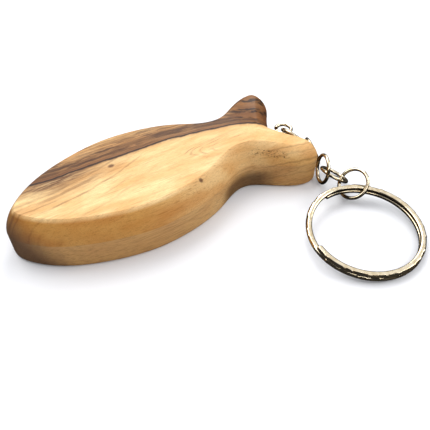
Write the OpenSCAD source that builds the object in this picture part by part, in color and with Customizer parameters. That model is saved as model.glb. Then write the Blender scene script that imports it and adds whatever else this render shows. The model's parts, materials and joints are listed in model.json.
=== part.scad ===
// Keychain: a flat wooden fish with a screw eye in its tail notch, a chain of five jump rings
// and a split ring of two flat coils. The fish lies on its flat underside, nose towards -X.
// Origin: centre of the underside, on the surface that the fish lies on.

/* [Fish] */
// Length from the nose to the tips of the tail
fish_length = 76.5; // [75:0.5:78]
// Width across the belly
fish_width = 31.8; // [28:0.2:34]
// Thickness of the belly
fish_thick = 12.9; // [11.5:0.1:14]
// Height of the soft ridge that runs around the side
ridge_height = 7.2; // [6:0.1:8]
// How far the flat top sits in from the side along the belly
belly_bevel = 2.9; // [1.5:0.1:3.2]
// How far the flat top sits in from the side at the tail lobes
lobe_bevel = 3.5; // [1.5:0.1:3.6]
// How much lower the tail lobes are than the belly
lobe_drop = 1.7; // [0:0.1:2.5]
// How far the lower edge is rounded in
foot_round = 1; // [0.3:0.1:1]

/* [Screw eye] */
// Thickness of the screw eye's wire
eye_wire = 1; // [0.9:0.05:1.05]
// Radius of the eye, to the middle of its wire
eye_radius = 2; // [1.9:0.05:2.1]
// Length of threaded shank inside the wood
shank_length = 9; // [6:0.5:12]
// Diameter over the thread
thread_width = 1.7; // [1.4:0.1:2]
// Distance from one thread ridge to the next
thread_pitch = 0.75; // [0.6:0.05:1]

/* [Chain] */
// Thickness of the wire of the jump rings
link_wire = 0.9; // [0.8:0.05:0.9]
// Radius of the first four jump rings, to the middle of the wire
link_radius = 3.55; // [3.53:0.01:3.57]
// Radius of the jump ring that holds the split ring
last_link_radius = 3.75; // [3.73:0.01:3.77]

/* [Split ring] */
// Outside diameter
ring_diameter = 28; // [27.5:0.1:28]
// Width of the flat wire, across the ring
coil_width = 1.5; // [1.3:0.1:1.5]
// Thickness of the flat wire, up the ring
coil_thick = 1.1; // [0.9:0.05:1.1]
// Part of a turn that the crossing from one coil to the other takes, in degrees
crossing_angle = 79; // [60:1:100]

/* [Hidden] */

wood = "#d9a860";
nickel = "#b3a68c";

// Fish outline: control points of a closed, smooth B-spline, from the nose along one side
// to the tail notch, drawn for a fish 75 long. The other side mirrors them.
SIDE = [
    [-1.1, 0], [2.2, 5.1], [9, 10.7], [21, 14.8], [31.4, 16.2], [45.3, 13.7], [52.9, 8.7],
    [57.6, 8], [62.2, 11.4], [68.4, 15.7], [74, 15.6], [75.8, 10.1], [71.7, 5], [69.8, 1.6], [69, 0]
];
spline_steps = 3;
// Where the lobes start to drop and where they have dropped, as parts of the length from the middle
waist_x = 0.27;
lobe_x = 0.43;
bevel_power = 1.47;
// Part of the bevel's curve that is left along the belly, where the flat top cuts it off in an edge
belly_cut = 0.82;
// Steps from the ridge to the flat top, as parts of the bevel
BEVEL_STEPS = [0.08, 0.22, 0.42, 0.68, 1];
// Steps from the underside to the ridge: part of the foot rounding, and height
FOOT_STEPS = [[1, 0], [0.55, 0.3], [0.25, 0.9], [0.12, 2.2]];

// Height of the screw's axis, and distance from the bottom of the notch to the eye's centre
eye_height = 6.7;
eye_reach = 4.49;
// Part of the eye that stays open beside the shank, in degrees
eye_gap_angle = 40;
shank_core = 1.1;
point_length = 1.6;
point_width = 0.2;
pilot_clearance = 0.1;
// How far the cut for the pilot hole starts ahead of the notch
pilot_start = 1;
// Half a thread ridge, as a part of the pitch, and how far its root sinks into the shank
ridge_share = 0.45;
root_sink = 0.1;
// Gap in a jump ring's butt joint, and between the coils of the split ring
link_gap = 0.15;
coil_gap = 0.06;
// Where the upper coil's tip is, counted from +X
tip_angle = 176;
coil_step = 7.5;
// Chamfer on the corners of the split ring's wire
corner = 0.28;
// Facets around a ring, around its wire and around the shank
ring_facets = 64;
wire_facets = 20;
shank_facets = 24;

// How the chain lies: each jump ring's centre from the eye's centre, the tilt of its axis from the
// vertical, the heading of that tilt, and the turn that puts its butt joint clear of its neighbours
LINK_PLACES = [
    [[1.4, -2.86, -1.43], 51.8, 12.6, 90],
    [[3.31, -8.94, -2.9], 69.5, -15.1, 90],
    [[0.67, -16.53, -2.39], 80.3, 158.5, 90],
    [[3.08, -18.47, -3.96], 35.2, 8.4, 90],
    [[4.07, -24.5, -2.92], 43.4, -175.6, 90]
];
// How the split ring lies: its centre from the eye's centre, tilt and heading of the tilt
RING_PLACE = [[-2.8, -37.1, -5.47], 5.05, -77];

function unit(v) = v / norm(v);
function smooth_step(a, b, x) = let (t = min(max((x - a) / (b - a), 0), 1)) t * t * (3 - 2 * t);

// ---- fish outline ----
side_count = len(SIDE);
loop_count = 2 * side_count - 2;
function loop_point(i) =
    let (k = (i + loop_count) % loop_count)
    k < side_count ? SIDE[k] : [SIDE[loop_count - k][0], -SIDE[loop_count - k][1]];
function spline_at(i, t) =
    ((1 - t) ^ 3 * loop_point(i - 1) + (3 * t ^ 3 - 6 * t ^ 2 + 4) * loop_point(i)
    + (-3 * t ^ 3 + 3 * t ^ 2 + 3 * t + 1) * loop_point(i + 1) + t ^ 3 * loop_point(i + 2)) / 6;
function slope_at(i, t) =
    (-3 * (1 - t) ^ 2 * loop_point(i - 1) + (9 * t ^ 2 - 12 * t) * loop_point(i)
    + (-9 * t ^ 2 + 6 * t + 3) * loop_point(i + 1) + 3 * t ^ 2 * loop_point(i + 2)) / 6;

outline_count = loop_count * spline_steps;
notch_index = outline_count / 2;
waist_index = 7 * spline_steps;
DRAWN = [for (i = [0 : loop_count - 1], k = [0 : spline_steps - 1]) spline_at(i, k / spline_steps)];
drawn_nose = min([for (p = DRAWN) p[0]]);
x_scale = fish_length / (max([for (p = DRAWN) p[0]]) - drawn_nose);
y_scale = fish_width / 2 / max([for (p = DRAWN) p[1]]);
OUTLINE = [for (p = DRAWN) [(p[0] - drawn_nose) * x_scale - fish_length / 2, p[1] * y_scale]];
INWARD = [for (i = [0 : loop_count - 1], k = [0 : spline_steps - 1])
    let (s = slope_at(i, k / spline_steps)) unit([s[1] * y_scale, -s[0] * x_scale])];
notch_x = OUTLINE[notch_index][0];
eye_centre = [notch_x + eye_reach, 0, eye_height];

function lobe_part(x) = smooth_step(waist_x * fish_length, lobe_x * fish_length, x);
function bevel_at(x) = belly_bevel + (lobe_bevel - belly_bevel) * lobe_part(x);
function top_at(x) = fish_thick - lobe_drop * lobe_part(x);
function cut_at(x) = belly_cut + (1 - belly_cut) * lobe_part(x);
function bevel_curve(part) = (1 - (1 - part) ^ bevel_power) ^ (1 / bevel_power);
function bevel_rise(part, cut) = bevel_curve(part * cut) / bevel_curve(cut);

// One closed loop of points: the outline moved in by a distance, at a height
function foot_loop(step) = [for (k = [0 : outline_count - 1])
    let (p = OUTLINE[k] + INWARD[k] * foot_round * step[0]) [p[0], p[1], step[1]]];
function ridge_loop() = [for (p = OUTLINE) [p[0], p[1], ridge_height]];
function bevel_loop(part) = [for (k = [0 : outline_count - 1])
    let (x = OUTLINE[k][0], p = OUTLINE[k] + INWARD[k] * bevel_at(x) * part)
    [p[0], p[1], ridge_height + (top_at(x) - ridge_height) * bevel_rise(part, cut_at(x))]];

// Side walls between neighbouring loops of n points, split into triangles
function wall_faces(loops, n) = [for (a = [0 : loops - 2], k = [0 : n - 1], half = [0, 1])
    let (m = (k + 1) % n, low = a * n, high = low + n)
    half == 0 ? [low + k, high + m, high + k] : [low + k, low + m, high + m]];
// Flat end of the fish: strips across the body, one triangle ahead of the notch, a strip in each lobe
function cap_faces(base, n) = concat(
    [[base, base + 1, base + n - 1]],
    [for (k = [1 : waist_index - 1]) [base + k, base + k + 1, base + n - k - 1, base + n - k]],
    [[base + waist_index, base + notch_index, base + n - waist_index]],
    lobe_faces(base + waist_index, base + notch_index),
    lobe_faces(base + notch_index, base + n - waist_index));
// Strip across a lobe, from its first to its last point along the outline
function lobe_faces(first, last) = [for (k = [0 : (last - first - 3) / 2], half = [0, 1])
    let (a = first + k, b = last - k)
    half == 0 ? [a, a + 1, b] : [a + 1, b - 1, b]];

function turned_over(face) = [for (k = [len(face) - 1 : -1 : 0]) face[k]];

module fish_solid() {
    loops = concat(
        [for (step = FOOT_STEPS) foot_loop(step)],
        [ridge_loop()],
        [for (part = BEVEL_STEPS) bevel_loop(part)]);
    n = outline_count;
    polyhedron(
        [for (loop = loops, p = loop) p],
        concat(
            [for (face = cap_faces(0, n)) turned_over(face)],
            wall_faces(len(loops), n),
            cap_faces((len(loops) - 1) * n, n)),
        convexity = 6);
}

module fish_body() {
    color(wood)
    difference() {
        fish_solid();
        translate([notch_x + pilot_start, 0, eye_height])
            rotate([0, -90, 0])
                cylinder(
                    h = pilot_start + shank_length,
                    d = shank_core + pilot_clearance,
                    $fn = shank_facets);
    }
}

// ---- screw eye ----
// Ring of round wire around Z, open over a part of a turn that is centred on -X
module wire_ring(radius, wire, open_angle) {
    rotate_extrude(angle = 360 - open_angle, start = -180 + open_angle / 2, $fn = ring_facets)
        translate([radius, 0])
            circle(d = wire, $fn = wire_facets);
}

// Shank along -X from the origin: plain neck, threaded part and point
module shank(neck) {
    threaded = shank_length - point_length;
    rotate([0, -90, 0]) {
        cylinder(h = neck + threaded, d = shank_core, $fn = shank_facets);
        translate([0, 0, neck + threaded])
            cylinder(h = point_length, d1 = shank_core, d2 = point_width, $fn = shank_facets);
        for (z = [neck + thread_pitch : thread_pitch : neck + threaded - thread_pitch])
            translate([0, 0, z])
                thread_ridge();
    }
}

module thread_ridge() {
    flank = thread_pitch * ridge_share;
    for (side = [0, 1])
        mirror([0, 0, side])
            cylinder(h = flank, d1 = thread_width, d2 = shank_core - root_sink, $fn = shank_facets);
}

module screw_eye() {
    color(nickel)
    translate(eye_centre) {
        rotate([0, 0, -eye_gap_angle / 2])
            wire_ring(eye_radius, eye_wire, eye_gap_angle);
        translate([-eye_radius, 0, 0])
            shank(eye_reach - eye_radius);
    }
}

// ---- chain ----
// Jump ring with a butt joint, at its place in the chain
module jump_ring(radius, place) {
    color(nickel)
    translate(eye_centre + place[0])
        rotate([0, place[1], place[2]])
            rotate([0, 0, place[3]])
                wire_ring(radius, link_wire, link_gap / radius * 180 / PI);
}

module link_1() { jump_ring(link_radius, LINK_PLACES[0]); }
module link_2() { jump_ring(link_radius, LINK_PLACES[1]); }
module link_3() { jump_ring(link_radius, LINK_PLACES[2]); }
module link_4() { jump_ring(link_radius, LINK_PLACES[3]); }
module link_5() { jump_ring(last_link_radius, LINK_PLACES[4]); }

// ---- split ring ----
// Flat wire section with chamfered corners: steps outward and upward from its middle
SECTION = let (x = coil_width / 2, z = coil_thick / 2, c = corner)
    [[x, c - z], [x, z - c], [x - c, z], [c - x, z], [-x, z - c], [-x, c - z], [c - x, -z], [x - c, -z]];
coil_pitch = coil_thick + coil_gap;
coil_turn = 720 - crossing_angle;
function coil_height(angle) = coil_thick / 2
    + coil_pitch * (1 - smooth_step(360 - crossing_angle, 360, angle));
function coil_station(angle) = let (r = ring_diameter / 2 - coil_width / 2, a = tip_angle + angle)
    [for (s = SECTION) [(r + s[0]) * cos(a), (r + s[0]) * sin(a), coil_height(angle) + s[1]]];

module split_ring() {
    steps = ceil(coil_turn / coil_step);
    n = len(SECTION);
    color(nickel)
    translate(eye_centre + RING_PLACE[0])
        rotate([0, RING_PLACE[1], RING_PLACE[2]])
            rotate([0, 0, -RING_PLACE[2]])
                polyhedron(
                    [for (k = [0 : steps], p = coil_station(coil_turn * k / steps)) p],
                    concat(
                        [[for (k = [0 : n - 1]) n - 1 - k]],
                        wall_faces(steps + 1, n),
                        [[for (k = [0 : n - 1]) steps * n + k]]),
                    convexity = 8);
}

fish_body();
screw_eye();
link_1();
link_2();
link_3();
link_4();
link_5();
split_ring();
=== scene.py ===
"""Looks of the fish keychain: an olive-wood fish, a screw eye, a chain of jump rings and a split ring.

Everything is in metres in the frame of the CAD model, with the fish flat on Z = 0, its nose towards -X.
Lengths below are written in millimetres and multiplied by MM.
"""
import json
import math

import bmesh
import bpy
from mathutils import Matrix, Vector, noise
from mathutils.geometry import delaunay_2d_cdt


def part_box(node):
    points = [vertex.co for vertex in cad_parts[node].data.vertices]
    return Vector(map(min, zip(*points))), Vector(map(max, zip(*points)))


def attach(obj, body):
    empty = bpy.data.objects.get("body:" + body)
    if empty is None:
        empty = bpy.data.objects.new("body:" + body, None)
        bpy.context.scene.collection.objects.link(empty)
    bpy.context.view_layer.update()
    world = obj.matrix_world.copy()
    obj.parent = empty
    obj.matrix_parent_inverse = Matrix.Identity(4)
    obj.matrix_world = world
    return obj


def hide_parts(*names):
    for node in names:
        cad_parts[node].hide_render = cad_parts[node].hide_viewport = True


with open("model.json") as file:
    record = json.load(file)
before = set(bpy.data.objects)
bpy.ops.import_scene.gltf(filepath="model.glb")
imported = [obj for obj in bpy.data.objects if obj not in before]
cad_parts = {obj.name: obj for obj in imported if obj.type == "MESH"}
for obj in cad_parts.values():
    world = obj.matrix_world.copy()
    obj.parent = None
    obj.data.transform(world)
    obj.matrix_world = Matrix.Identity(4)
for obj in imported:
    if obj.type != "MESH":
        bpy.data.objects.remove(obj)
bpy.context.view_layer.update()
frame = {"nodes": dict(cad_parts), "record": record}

MM = 0.001
scene = bpy.context.scene

# ---- camera ----
CAMERA_PLACE = Vector((-41.88, -97.68, 99.35))
CAMERA_TARGET = Vector((7.80, -12.79, 0.0))
CAMERA_ROLL = math.radians(-0.68)
CAMERA_LENS = 47.54


def make_camera():
    data = bpy.data.cameras.new("camera")
    data.lens = CAMERA_LENS
    data.sensor_width = 36
    data.clip_start, data.clip_end = 0.005, 5
    camera = bpy.data.objects.new("camera", data)
    scene.collection.objects.link(camera)
    towards = (CAMERA_TARGET - CAMERA_PLACE).to_track_quat("-Z", "Y").to_matrix().to_4x4()
    camera.matrix_world = (Matrix.Translation(CAMERA_PLACE * MM) @ towards
                           @ Matrix.Rotation(CAMERA_ROLL, 4, "Z"))
    scene.camera = camera


make_camera()

# ---- the fish's shape, as the CAD model has it ----
low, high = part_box("fish_body")
FISH_LENGTH = (high.x - low.x) / MM
FISH_WIDTH = (high.y - low.y) / MM
FISH_THICK = (high.z - low.z) / MM
# Control points of the closed B-spline outline, nose to tail notch along one side
SIDE = [
    (-1.1, 0), (2.2, 5.1), (9, 10.7), (21, 14.8), (31.4, 16.2), (45.3, 13.7), (52.9, 8.7),
    (57.6, 8), (62.2, 11.4), (68.4, 15.7), (74, 15.6), (75.8, 10.1), (71.7, 5), (69.8, 1.6), (69, 0),
]
RIDGE_HEIGHT = 7.2
BELLY_BEVEL, LOBE_BEVEL, LOBE_DROP = 2.9, 3.5, 1.7
# Between these shares of the length, the shape of the belly turns into that of the lobes
WAIST_X, LOBE_X = 0.27, 0.43
BEVEL_POWER, BEVEL_CUT = 1.47, 0.82
FOOT_ROUND = 1.0
ARRIS_FLAT = 0.12
WALL_DRAFT = 0.18

# ---- how finely the fish is made, and its hand-shaped waviness ----
OUTLINE_STEPS = 10
FOOT_HEIGHT = 1.5
HAND_CUT, HAND_CUT_START, HAND_CUT_FADE = 0.12, 0.9, 0.4
WALL_HEIGHTS = [0, 0.04, 0.12, 0.25, 0.42, 0.65, 0.95, 1.3, 1.8, 2.6, 3.6, 4.7, 5.7, 6.4, 6.85, 7.08]
BEVEL_PARTS = [0, 0.012, 0.04, 0.08, 0.13, 0.19, 0.26, 0.34, 0.43, 0.52, 0.61, 0.7, 0.79, 0.87, 0.94, 0.985, 1]
# An inset ring is evened out where it advances by less than this share of the outline
LEAST_ADVANCE, EVENING_PASSES = 0.03, 60
CAP_GRID, CAP_CLEARANCE = 1.1, 0.605


def smooth_step(a, b, x):
    t = min(max((x - a) / (b - a), 0), 1)
    return t * t * (3 - 2 * t)


def spline_loop(steps):
    """Points and inward normals of the outline, steps to a span."""
    loop = SIDE + [(x, -y) for x, y in SIDE[-2:0:-1]]
    count = len(loop)
    points, slopes = [], []
    for i in range(count):
        a, b, c, d = (Vector(loop[(i + k) % count]) for k in (-1, 0, 1, 2))
        for k in range(steps):
            t = k / steps
            points.append(((1 - t) ** 3 * a + (3 * t ** 3 - 6 * t ** 2 + 4) * b
                           + (-3 * t ** 3 + 3 * t ** 2 + 3 * t + 1) * c + t ** 3 * d) / 6)
            slopes.append(-3 * (1 - t) ** 2 * a + (9 * t ** 2 - 12 * t) * b
                          + (-9 * t ** 2 + 6 * t + 3) * c + 3 * t ** 2 * d)
    nose, tail = min(p.x for p in points), max(p.x for p in points)
    stretch = Vector((FISH_LENGTH / (tail - nose), FISH_WIDTH / 2 / max(p.y for p in points)))
    points = [Vector(((p.x - nose) * stretch.x - FISH_LENGTH / 2, p.y * stretch.y)) for p in points]
    inward = [Vector((s.y * stretch.y, -s.x * stretch.x)).normalized() for s in slopes]
    return points, inward


def lobe_part(x):
    return smooth_step(WAIST_X * FISH_LENGTH, LOBE_X * FISH_LENGTH, x)


def top_height(x):
    return FISH_THICK - LOBE_DROP * lobe_part(x)


def bevel_rise(part, cut):
    """Part of the rise from the ridge to the top. The curve is cut before it flattens: that leaves an arris."""
    def curve(t):
        return (1 - (1 - t) ** BEVEL_POWER) ** (1 / BEVEL_POWER)

    return curve(part * cut) / curve(cut)


def foot_inset(z):
    """How far the wall sits in at a height: the rounded lower edge, then a slight draft."""
    from_rounding = 1 - min(z / FOOT_HEIGHT, 1)
    rounding = (1 - math.sqrt(max(0, 1 - from_rounding ** 2))) * (FOOT_ROUND - WALL_DRAFT)
    return rounding + WALL_DRAFT * (1 - z / RIDGE_HEIGHT)


def hand_cut(x, y, z):
    """Small waviness left by hand shaping, inwards only."""
    return HAND_CUT * (0.5 + 0.5 * noise.noise(Vector((x * 0.09, y * 0.09, z * 0.12 + 4))))


def unfolded(ring, outline):
    """Evens out the points of an inset ring where it folds back on itself, at the tips of the lobes."""
    count = len(ring)
    flat = [p.copy() for p, z in ring]
    for _ in range(EVENING_PASSES):
        folds = []
        for k in range(count):
            after = (k + 1) % count
            along = outline[after] - outline[k]
            if (flat[after] - flat[k]).dot(along) < LEAST_ADVANCE * along.length_squared:
                folds += [k, after]
        if not folds:
            break
        for k in folds:
            flat[k] = (flat[k - 1] + flat[(k + 1) % count]) / 2
    return [(p, z) for p, (_, z) in zip(flat, ring)]


def wall_ring(outline, inward, z):
    """Outline of the wall at a height below the ridge."""
    ring = []
    for p, n in zip(outline, inward):
        wobble = hand_cut(p.x, p.y, z) if z > HAND_CUT_START else 0
        ring.append((p + n * (foot_inset(z) + wobble), z))
    return ring


def bevel_ring(outline, inward, part):
    """Outline of the bevel, from the ridge at part 0 to the arris at part 1."""
    ring = []
    for p, n in zip(outline, inward):
        lobe = lobe_part(p.x)
        bevel = BELLY_BEVEL + (LOBE_BEVEL - BELLY_BEVEL) * lobe
        rise = bevel_rise(part, BEVEL_CUT + (1 - BEVEL_CUT) * lobe)
        z = RIDGE_HEIGHT + (top_height(p.x) - RIDGE_HEIGHT) * rise
        wobble = hand_cut(p.x, p.y, z) * (1 - HAND_CUT_FADE * part)
        ring.append((p + n * (bevel * part + wobble), z))
    return ring


def fish_mesh():
    outline, inward = spline_loop(OUTLINE_STEPS)
    count = len(outline)
    rings = [wall_ring(outline, inward, z) for z in WALL_HEIGHTS]
    rings += [bevel_ring(outline, inward, part) for part in BEVEL_PARTS]
    rings.append([(p + n * ARRIS_FLAT, z) for (p, z), n in zip(rings[-1], inward)])
    rings = [unfolded(ring, outline) for ring in rings]
    points = [Vector((p.x, p.y, z)) for ring in rings for p, z in ring]
    faces = []
    for r in range(len(rings) - 1):
        for k in range(count):
            a, b = r * count + k, r * count + (k + 1) % count
            faces.append((a, b, b + count, a + count))
    add_cap(points, faces, rings[-1], (len(rings) - 1) * count, True)
    add_cap(points, faces, rings[0], 0, False)
    return points, faces


def grid_inside(border):
    """Points of a staggered grid inside a border, clear of its points."""
    found = []
    for i in range(int(FISH_LENGTH / CAP_GRID)):
        for j in range(int(FISH_WIDTH / CAP_GRID)):
            x = (i + 0.5 * (j % 2)) * CAP_GRID - FISH_LENGTH / 2
            q = Vector((x, j * CAP_GRID - FISH_WIDTH / 2))
            if inside(q, border) and min((q - b).length for b in border[::2]) > CAP_CLEARANCE:
                found.append(q)
    return found


def add_cap(points, faces, ring, first, is_top):
    """Fills a ring with triangles, over a grid of inner points on the top."""
    border = [p for p, z in ring]
    count = len(border)
    inner = grid_inside(border) if is_top else []
    edges = [(k, (k + 1) % count) for k in range(count)]
    verts, _, tris, *_ = delaunay_2d_cdt(border + inner, edges, [], 1, 1e-6)
    index = {}
    for k, v in enumerate(verts):
        if k < count:
            index[k] = first + k
        else:
            index[k] = len(points)
            points.append(Vector((v.x, v.y, top_height(v.x) if is_top else 0)))
    for tri in tris:
        face = [index[k] for k in tri]
        a, b, c = (points[k] for k in face)
        up = (b - a).cross(c - a).z > 0
        faces.append(tuple(face if up == is_top else reversed(face)))


def inside(q, border):
    """Whether a point lies inside a closed border."""
    hit = False
    for k, a in enumerate(border):
        b = border[k - 1]
        if (a.y > q.y) != (b.y > q.y) and q.x < (b.x - a.x) * (q.y - a.y) / (b.y - a.y) + a.x:
            hit = not hit
    return hit


def make_object(name, points, faces, material, body, slot, node):
    mesh = bpy.data.meshes.new(name)
    mesh.from_pydata([p * MM for p in points], [], faces)
    shape = bmesh.new()
    shape.from_mesh(mesh)
    bmesh.ops.recalc_face_normals(shape, faces=shape.faces)
    shape.to_mesh(mesh)
    shape.free()
    mesh.shade_smooth()
    mesh.materials.append(material)
    piece = bpy.data.objects.new(name, mesh)
    scene.collection.objects.link(piece)
    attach(piece, body)
    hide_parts(node)


# ---- node helpers ----
def linear(r, g, b):
    """An sRGB colour, 0 to 255, as the linear colour that a node takes."""
    return tuple(((c / 255 + 0.055) / 1.055) ** 2.4 for c in (r, g, b)) + (1,)


class Value:
    """A number that comes out of a node, with arithmetic that adds nodes."""

    def __init__(self, tree, socket):
        self.tree, self.socket = tree, socket

    def do(self, operation, *others):
        node = self.tree.nodes.new("ShaderNodeMath")
        node.operation = operation
        for slot, item in zip(node.inputs, (self,) + others):
            connect(self.tree, slot, item)
        return Value(self.tree, node.outputs[0])

    def __add__(self, other):
        return self.do("ADD", other)

    def __sub__(self, other):
        return self.do("SUBTRACT", other)

    def __mul__(self, other):
        return self.do("MULTIPLY", other)

    def __neg__(self):
        return self.do("MULTIPLY", -1)

    def rises(self, start, end):
        """0 at start and 1 at end, smooth between them and level beyond. End may be the lower one."""
        node = self.tree.nodes.new("ShaderNodeMapRange")
        node.interpolation_type = "SMOOTHSTEP"
        falls = start > end
        settings = (self, min(start, end), max(start, end), float(falls), float(not falls))
        for slot, item in zip(node.inputs, settings):
            connect(self.tree, slot, item)
        return Value(self.tree, node.outputs[0])

    def line(self, width, soft=1.0):
        """1 where the value is within a width of zero, fading out over soft widths more."""
        return self.do("ABSOLUTE").rises(width * (1 + soft), width)


def connect(tree, slot, item):
    if isinstance(item, Value):
        tree.links.new(item.socket, slot)
    else:
        slot.default_value = item


def mix(tree, factor, a, b, blend="MIX"):
    """Mixes two colours, each a linear colour or a node's output."""
    node = tree.nodes.new("ShaderNodeMix")
    node.data_type, node.blend_type = "RGBA", blend
    connect(tree, node.inputs[0], factor)
    for slot, item in ((node.inputs[6], a), (node.inputs[7], b)):
        connect(tree, slot, item)
    return Value(tree, node.outputs[2])


def places(tree):
    """The piece's own coordinates in millimetres."""
    coords = tree.nodes.new("ShaderNodeTexCoord")
    split = tree.nodes.new("ShaderNodeSeparateXYZ")
    tree.links.new(coords.outputs["Object"], split.inputs[0])
    return [Value(tree, split.outputs[k]) * 1000 for k in range(3)]


def vector(tree, x, y, z):
    node = tree.nodes.new("ShaderNodeCombineXYZ")
    for slot, item in zip(node.inputs, (x, y, z)):
        connect(tree, slot, item)
    return Value(tree, node.outputs[0])


def grain(tree, x, y, z, detail=2.0, rough=0.5):
    """Noise from -0.5 to 0.5 at coordinates that are scaled already."""
    node = tree.nodes.new("ShaderNodeTexNoise")
    node.inputs["Scale"].default_value = 1
    node.inputs["Detail"].default_value = detail
    node.inputs["Roughness"].default_value = rough
    tree.links.new(vector(tree, x, y, z).socket, node.inputs["Vector"])
    return Value(tree, node.outputs[0]) - 0.5


def new_material(name):
    material = bpy.data.materials.new(name)
    material.use_nodes = True
    tree = material.node_tree
    return material, tree, tree.nodes["Principled BSDF"]


def add_bump(tree, shader, height, distance):
    node = tree.nodes.new("ShaderNodeBump")
    node.inputs["Distance"].default_value = distance * MM
    node.inputs["Strength"].default_value = 1
    connect(tree, node.inputs["Height"], height)
    tree.links.new(node.outputs[0], shader.inputs["Normal"])


# ---- olive wood ----
CREAM, HONEY, TAN = linear(240, 206, 148), linear(222, 172, 108), linear(160, 108, 58)
BROWN, DARK, NEAR_BLACK = linear(112, 70, 37), linear(66, 38, 20), linear(44, 28, 18)
# The bevel colour multiplies the sides: partly their golden tone, partly painted shade
BEVEL_GOLD_AND_SHADE, LOWER_BAND, STAIN = linear(206, 168, 92), linear(196, 154, 100), linear(90, 52, 28)
NOSE_GREY = linear(92, 66, 48)


class Wood:
    """Coordinates in the wood, in millimetres, and its colour as it is built up, layer over layer."""

    def __init__(self, tree):
        self.tree = tree
        x, y, z = places(tree)
        self.x, self.y, self.z = x, y, z
        self.drift = self.grain(x * 0.05, y * 0.05, z * 0.05, 1) * 2.2
        self.ripple = self.grain(x * 0.3, y * 0.45, z * 0.45, 3) * 1.1
        # The main dark line runs along the fish, bending towards the near lobe past the belly
        bend = (x - 5).do("MAXIMUM", 0) * 0.21
        nose_rise = (-x - 23).do("MAXIMUM", 0)
        line_y = nose_rise * nose_rise * 0.02 - bend + 5.1
        self.across = y - line_y + self.drift + self.ripple + (z - FISH_THICK) * 0.25
        clouds = self.grain(x * 0.09, y * 0.3, z * 0.3, 3).rises(-0.22, 0.25)
        self.color = mix(tree, clouds, HONEY, CREAM)

    def grain(self, x, y, z, detail=2.0, rough=0.5):
        return grain(self.tree, x, y, z, detail, rough)

    def lay(self, amount, color, blend="MIX"):
        self.color = mix(self.tree, amount, self.color, color, blend)


def fine_grain(wood):
    """Fine streaks along the grain. Returns the height and the streaks, for the bump and the gloss."""
    x, y, z = wood.x, wood.y, wood.z
    streak = wood.grain(x * 0.12, y * 3.2, z * 3.2, 3, 0.6)
    wood.lay(streak.rises(0.0, 0.24) * 0.44, TAN)
    hair = wood.grain(x * 0.5, y * 14, z * 14, 2, 0.7)
    wood.lay(hair.rises(0.0, 0.2) * 0.5, TAN)
    fleck = wood.grain(x * 0.9, y * 7, z * 7, 2, 0.6)
    wood.lay(fleck.rises(0.08, 0.28) * 0.4, BROWN)
    return streak + fleck * 1.2 + hair * 0.5, streak


def growth_lines(wood):
    """Lines that sweep up from the near side of the nose towards the main line."""
    x, y, z = wood.x, wood.y, wood.z
    sweep_x = (x + 30).do("MAXIMUM", 0)
    sweep = y + wood.drift * 0.8 + wood.ripple * 0.9 + 3.8 - sweep_x * sweep_x * 0.0095
    near_nose = x.rises(2, -10)
    for offset, width, depth in ((0, 0.1, 0.6), (1.7, 0.07, 0.4), (2.9, 0.16, 0.5), (-1.9, 0.06, 0.25),
                                 (-3.4, 0.09, 0.3), (4.4, 0.12, 0.45), (-6.1, 0.12, 0.25)):
        fade = wood.grain(x * 0.12 - offset, y * 0.12, z * 0.12).rises(-0.2, 0.15)
        wood.lay((sweep - offset).line(width, 3) * near_nose * fade * depth, BROWN)
    wood.lay(sweep.rises(-0.2, 1.6) * sweep.rises(5, 2) * near_nose * 0.22, TAN)


def arches(wood):
    """Nested arches of grain that open towards the tail."""
    x, y, z = wood.x, wood.y, wood.z
    arch_y = y + 3.4 + wood.ripple + (x - 8) * 0.12
    arch = x - 5.5 - arch_y * arch_y * 0.75 + wood.drift + wood.ripple * 1.5
    inside_arch = x.rises(3, 7) * x.rises(24, 15) * (y + 3.4).line(2.6, 0.6)
    for offset, depth in ((0, 0.5), (1.6, 0.35), (3.9, 0.4), (7.0, 0.35), (-2.6, 0.25)):
        fade = wood.grain(x * 0.3 + offset, y * 0.3, z * 0.3).rises(-0.15, 0.12)
        wood.lay((arch - offset).line(0.18, 2) * depth * inside_arch * fade, BROWN)


def nose_stain(wood):
    """Brown stain along the main line near the nose, most of it on the near side."""
    x, y, z, across = wood.x, wood.y, wood.z, wood.across
    stain = across.rises(-6.5, -1.2) * across.rises(2.5, 1.2) * x.rises(-6, -24)
    patchy = wood.grain(x * 0.2, y * 1.6, z * 0.8, 4, 0.65).rises(-0.12, 0.1)
    wood.lay(stain * (patchy * 0.5 + 0.5), STAIN)
    wood.lay(across.rises(-1.7, -0.1) * across.rises(0.4, 0) * 0.3, BROWN)


def dark_bands(wood):
    """Beyond the main line: tan wood with fine dark lines and a few heavy patches."""
    x, y, z, across = wood.x, wood.y, wood.z, wood.across
    wood.lay(across.rises(-0.1, 0.4) * (across.rises(8, 2) * 0.4 + 0.45), TAN)
    for offset, width, depth in ((0.8, 0.153, 0.75), (1.35, 0.119, 0.6), (1.9, 0.238, 0.85), (2.6, 0.136, 0.6),
                                 (3.1, 0.272, 0.85), (3.9, 0.119, 0.5), (4.7, 0.187, 0.6), (5.9, 0.238, 0.5),
                                 (6.8, 0.136, 0.4), (7.9, 0.204, 0.4)):
        fade = wood.grain(x * 0.1 + offset, y * 0.15, z * 0.1).rises(-0.22, 0.1)
        wood.lay((across - offset).line(width, 1.8) * fade * depth, DARK)
    heavy = wood.grain(x * 0.13, across * 0.8, z * 0.3, 4, 0.6).rises(0.0, 0.1)
    wood.lay(heavy * across.rises(1.0, 2.0) * across.rises(6.5, 4.4) * 0.75, DARK)
    fine = wood.grain(x * 0.2, across * 4, z * 0.5, 3, 0.65)
    wood.lay(fine.rises(-0.02, 0.12) * across.rises(0.2, 0.8) * across.rises(12, 6) * 0.55, DARK)
    wood.lay((across - 0.25).line(0.45, 1.2) * 0.7, BROWN)
    wood.lay(across.line(0.2, 1.0) * 0.95, NEAR_BLACK)


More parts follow.
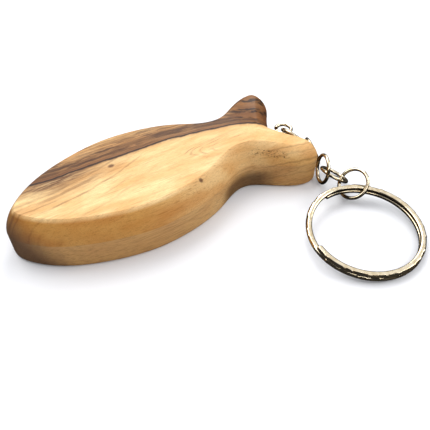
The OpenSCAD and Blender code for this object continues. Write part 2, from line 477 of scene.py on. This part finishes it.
def far_lobe(wood):
    """Brown wood with near-black bands."""
    x, y, z, across = wood.x, wood.y, wood.z, wood.across
    lobe = x.rises(22, 26) * (y + (x - 25) * 0.15).rises(2.0, 4.0)
    wood.lay(lobe * 0.85, BROWN)
    wave = wood.grain(x * 0.22, y * 0.3, z * 0.3, 4, 0.6) * 9
    wood.lay(lobe * (across * 1.3 + wave).do("SINE").rises(0.0, 0.9) * 0.9, NEAR_BLACK)
    wood.lay(lobe * (across * 1.9 - wave + 2).do("SINE").rises(0.6, 1.0) * 0.4, TAN)


def near_lobe(wood):
    """Fine lines that curl over the lobe."""
    curl = wood.y * 0.55 + wood.z * 0.8 + wood.x * 0.12 + wood.ripple * 1.2
    lobe = wood.x.rises(20, 25) * wood.y.rises(-4.5, -7)
    for offset, depth in ((6.2, 0.3), (4.6, 0.18), (2.4, 0.33), (0.9, 0.18),
                          (-0.8, 0.3), (-2.6, 0.21), (-4.4, 0.27)):
        wood.lay((curl - offset).line(0.08, 2.5) * lobe * depth, BROWN)


def knots(wood):
    for knot_x, knot_y, size in ((-11.2, 2.8, 0.45), (4.7, -11.9, 0.3)):
        reach = ((wood.x - knot_x) * 0.7).do("POWER", 2) + (wood.y - knot_y).do("POWER", 2)
        wood.lay(reach.rises(size * size * 2.5, size * size * 0.2) * 0.85, STAIN)


def sides(wood):
    """The sides are multiplied golden, partly their own tone and partly painted shade against the top, most
    towards the nose and on the lobes; paler and greyer below the ridge; darker grey-brown at the nose, most on
    its side walls; painted shade low on the near side of the waist.
    """
    x, y, z = wood.x, wood.y, wood.z
    top_z = x.rises(WAIST_X * FISH_LENGTH, LOBE_X * FISH_LENGTH) * -LOBE_DROP + FISH_THICK
    depth_below_top = top_z - z
    on_lobe = x.rises(16, 24)
    side = depth_below_top.rises(0.1, 0.9) * (-on_lobe + 1) + depth_below_top.rises(-0.4, 3.2) * on_lobe
    # Painted shade: the sides below the top are darkened with the golden colour, more towards the nose and on
    # the lobes
    wood.lay(side * (x.rises(12, -14) * 0.6 + x.rises(20, 27) * 0.4 + 0.25), BEVEL_GOLD_AND_SHADE, "MULTIPLY")
    below = (z + wood.ripple * 0.12).rises(RIDGE_HEIGHT + 0.12, RIDGE_HEIGHT - 0.12)
    wood.lay(below * (x.rises(15, -5) * 0.3 + 0.35), LOWER_BAND)
    low_grain = wood.grain(x * 0.2 + z * 0.5, (y + z) * 2.2, z * 2.2, 4, 0.65).rises(-0.08, 0.25)
    wood.lay(below * low_grain * 0.5, BROWN)

    nose = (x + z * 0.7 - y * 0.12 + wood.ripple * 1.5).rises(-23, -33)
    wood.lay(nose * (side * 0.75 + 0.12), NOSE_GREY)
    # Painted shade: darkening low on the near side of the waist, where the wall curves in
    waist = (x - 18.5).line(4, 1.4) * z.rises(6.6, 3.4) * y.rises(2, -1)
    wood.lay(waist * 0.75, DARK)


def specks(wood):
    """Dark specks on the near lobe's bevel."""
    x, y, z = wood.x, wood.y, wood.z
    spots = wood.grain(x * 1.4, y * 3.0, z * 3.0, 3, 0.7).rises(0.02, 0.12)
    under_arris = (z - 10.2 + (x - 25) * 0.12).line(0.45, 1.2)
    wood.lay(spots * under_arris * (x - 25).line(3, 0.5) * y.rises(-3, -5) * 0.8, DARK)


def olive_wood():
    material, tree, shader = new_material("olive_wood")
    wood = Wood(tree)
    height, streak = fine_grain(wood)
    for layer in (growth_lines, arches, nose_stain, dark_bands, far_lobe, near_lobe, knots, sides, specks):
        layer(wood)
    tree.links.new(wood.color.socket, shader.inputs["Base Color"])
    roughness = streak * 0.25 + 0.45
    tree.links.new(roughness.socket, shader.inputs["Roughness"])
    shader.inputs["Specular IOR Level"].default_value = 0.25
    shader.inputs["Coat Weight"].default_value = 0.03
    shader.inputs["Coat Roughness"].default_value = 0.3
    add_bump(tree, shader, height, 0.04)
    return material


# ---- metal ----
# The middle colour is painted shade for the sides of the metal
BRIGHT_NICKEL, SIDE_SHADE_BROWN, SCRATCHED = linear(226, 212, 184), linear(52, 38, 26), linear(120, 96, 66)


def nickel(name, worn, side_shade_amount):
    material, tree, shader = new_material(name)
    x, y, z = places(tree)
    cloud = grain(tree, x * 0.7, y * 0.7, z * 0.7, 2)
    scratch = grain(tree, x * 6, y * 6, z * 6, 3, 0.7)
    color = mix(tree, cloud.rises(-0.15, 0.25), BRIGHT_NICKEL, worn)
    # Painted shade: faces that point sideways or down are darkened, standing in for the dark reflections on the
    # wire's sides, so that only the tops stay bright
    coords = tree.nodes.new("ShaderNodeTexCoord")
    split = tree.nodes.new("ShaderNodeSeparateXYZ")
    tree.links.new(coords.outputs["Normal"], split.inputs[0])
    side_shade_mask = Value(tree, split.outputs[2]).rises(0.42, 0.0)
    color = mix(tree, side_shade_mask * side_shade_amount, color, SIDE_SHADE_BROWN)
    color = mix(tree, scratch.rises(0.12, 0.3) * 0.4, color, SCRATCHED)
    tree.links.new(color.socket, shader.inputs["Base Color"])
    shader.inputs["Metallic"].default_value = 1
    roughness = cloud * 0.08 + scratch * 0.06 + 0.12
    tree.links.new(roughness.socket, shader.inputs["Roughness"])
    add_bump(tree, shader, cloud + scratch * 0.35, 0.02)
    return material


# ---- split ring ----
RING_RADIUS = 13.245
COIL_WIDTH, COIL_THICK, COIL_GAP = 1.5, 1.1, 0.06
TIP_ANGLE, CROSSING_ANGLE = 176, 79
COIL_TURN = 720 - CROSSING_ANGLE
FACETS_PER_TURN = 25
SECTION_SIDES, RING_STEPS = 28, 1300
SECTION_SQUARENESS = 0.72
GROOVE = 0.08
CREST_WIDTH = 0.06
# The wire tips are rounded over a length, down to a least share of the section, squared
TIP_ROUND, TIP_LEAST = 0.35, 0.12


def facet_at(angle):
    """Place along a hammered facet, -1 to 1, and the facet's own depth, at an angle along the wire."""
    place = angle / 360 * FACETS_PER_TURN
    place += 0.22 * math.sin(place * 2.4) + 0.13 * math.sin(place * 5.1)
    number = math.floor(place)
    return 2 * (place - number) - 1, 0.85 + 0.6 * noise.noise(Vector((number * 3.7, 0.5, 0)))


def ring_section(angle):
    """Points of the wire's section, out and up from its middle.

    It is rounded, with a hammered facet on its outer upper side that dips between crests, and a nick at
    each crest.
    """
    along, depth = facet_at(angle)
    dip = min(1, 1.7 * (1 - along * along)) * depth
    crest = math.exp(-((1 - abs(along)) / CREST_WIDTH) ** 2)
    half_w, half_t = COIL_WIDTH / 2, (COIL_THICK - GROOVE) / 2
    facet_turn = math.radians(34 + 8 * depth * along)
    facet_reach = 0.8 - 0.25 * dip - 0.17 * crest
    points = []
    for k in range(SECTION_SIDES):
        turn = 2 * math.pi * k / SECTION_SIDES
        c, s = math.cos(turn), math.sin(turn)
        out = half_w * math.copysign(abs(c) ** SECTION_SQUARENESS, c)
        up = half_t * math.copysign(abs(s) ** SECTION_SQUARENESS, s)
        over = out * math.cos(facet_turn) + up * math.sin(facet_turn) - facet_reach
        if over > 0:
            out -= over * math.cos(facet_turn)
            up -= over * math.sin(facet_turn)
        points.append((out, up))
    return points


def split_ring_mesh():
    mount = next(m for m in frame["record"]["mounts"] if m["name"] == "key_loop")
    axis = Vector(mount["axis"]).normalized()
    middle_height = COIL_THICK + COIL_GAP / 2
    base = Vector(mount["pos_m"]) / MM - axis * middle_height
    lean = Vector((0, 0, 1)).rotation_difference(axis)
    pitch = COIL_THICK + COIL_GAP
    points, faces = [], []
    for k in range(RING_STEPS + 1):
        angle = COIL_TURN * k / RING_STEPS
        from_end = min(angle, COIL_TURN - angle) * math.pi / 180 * RING_RADIUS
        swell = math.sqrt(max(TIP_LEAST, 1 - (1 - min(from_end / TIP_ROUND, 1)) ** 2))
        height = COIL_THICK / 2 + pitch * (1 - smooth_step(360 - CROSSING_ANGLE, 360, angle))
        turn = math.radians(TIP_ANGLE + angle)
        for out, up in ring_section(angle):
            r = RING_RADIUS + out * swell
            p = Vector((r * math.cos(turn), r * math.sin(turn), height + up * swell))
            points.append(base + lean @ p)
    for k in range(RING_STEPS):
        first = k * SECTION_SIDES
        for s in range(SECTION_SIDES):
            a, b = first + s, first + (s + 1) % SECTION_SIDES
            faces.append((a, b, b + SECTION_SIDES, a + SECTION_SIDES))
    faces.append(tuple(range(SECTION_SIDES)))
    faces.append(tuple(RING_STEPS * SECTION_SIDES + s for s in range(SECTION_SIDES)))
    return points, faces


# ---- the pieces ----
wood = olive_wood()
# The last number is how strongly the painted shade darkens the sides of the metal
wire_nickel = nickel("nickel_wire", linear(190, 170, 138), 0.8)
ring_nickel = nickel("nickel_ring", linear(202, 182, 146), 0.9)

make_object("olive_wood_fish", *fish_mesh(), wood, "fob", "olive_wood", "fish_body")
make_object("hammered_split_ring", *split_ring_mesh(), ring_nickel, "key_ring", "nickel_ring", "split_ring")
for name, node in frame["nodes"].items():
    if name == "screw_eye" or name.startswith("link_"):
        node.data.materials.clear()
        node.data.materials.append(wire_nickel)


# ---- floor, light and air ----
LIT_PLACE = Vector((0.02, -0.02, 0))


def make_floor():
    mesh = bpy.data.meshes.new("floor")
    reach = 1.5
    corners = [(-reach, -reach, 0), (reach, -reach, 0), (reach, reach, 0), (-reach, reach, 0)]
    mesh.from_pydata(corners, [], [(0, 1, 2, 3)])
    floor = bpy.data.objects.new("floor", mesh)
    scene.collection.objects.link(floor)
    material, tree, shader = new_material("paper")
    # Polished metal mirrors the paper as a darker one, which gives its sides their depth
    dim = tree.nodes.new("ShaderNodeBsdfDiffuse")
    dim.inputs["Color"].default_value = (0.05, 0.045, 0.04, 1)
    ray = tree.nodes.new("ShaderNodeLightPath")
    either = tree.nodes.new("ShaderNodeMixShader")
    tree.links.new(ray.outputs["Is Glossy Ray"], either.inputs[0])
    tree.links.new(shader.outputs[0], either.inputs[1])
    tree.links.new(dim.outputs[0], either.inputs[2])
    tree.links.new(either.outputs[0], tree.nodes["Material Output"].inputs["Surface"])
    shader.inputs["Base Color"].default_value = (0.8, 0.8, 0.81, 1)
    shader.inputs["Roughness"].default_value = 0.8
    shader.inputs["Specular IOR Level"].default_value = 0.1
    mesh.materials.append(material)


def softbox(name, place, size, power):
    """A lamp that faces the middle of the keychain. Place and size are in metres."""
    data = bpy.data.lights.new(name, "AREA")
    data.shape = "RECTANGLE"
    data.size, data.size_y = size
    data.energy = power
    light = bpy.data.objects.new(name, data)
    light.location = place
    light.rotation_euler = (LIT_PLACE - Vector(place)).to_track_quat("-Z", "Y").to_euler()
    scene.collection.objects.link(light)


def make_world():
    world = bpy.data.worlds.new("studio")
    world.use_nodes = True
    tree = world.node_tree
    background = tree.nodes["Background"]
    background.inputs["Color"].default_value = (0.93, 0.95, 1.0, 1)
    coords = tree.nodes.new("ShaderNodeTexCoord")
    split = tree.nodes.new("ShaderNodeSeparateXYZ")
    tree.links.new(coords.outputs["Generated"], split.inputs[0])
    x, y, up = (Value(tree, split.outputs[k]) for k in range(3))
    ceiling = (up + y * 0.3 + x * 0.2).rises(0.4, 0.95)
    tree.links.new((ceiling * 1.22 + 0.04).socket, background.inputs["Strength"])
    scene.world = world
    scene.view_settings.view_transform = "Standard"


make_floor()
make_world()
softbox("key", (-0.16, 0.3, 0.45), (0.4, 0.4), 1.7)
softbox("strip", (0.22, 0.27, 0.36), (0.14, 0.3), 0.75)
softbox("fill", (0.42, -0.22, 0.26), (0.3, 0.3), 1.0)
softbox("edge", (-0.05, -0.42, 0.42), (0.6, 0.12), 1.0)
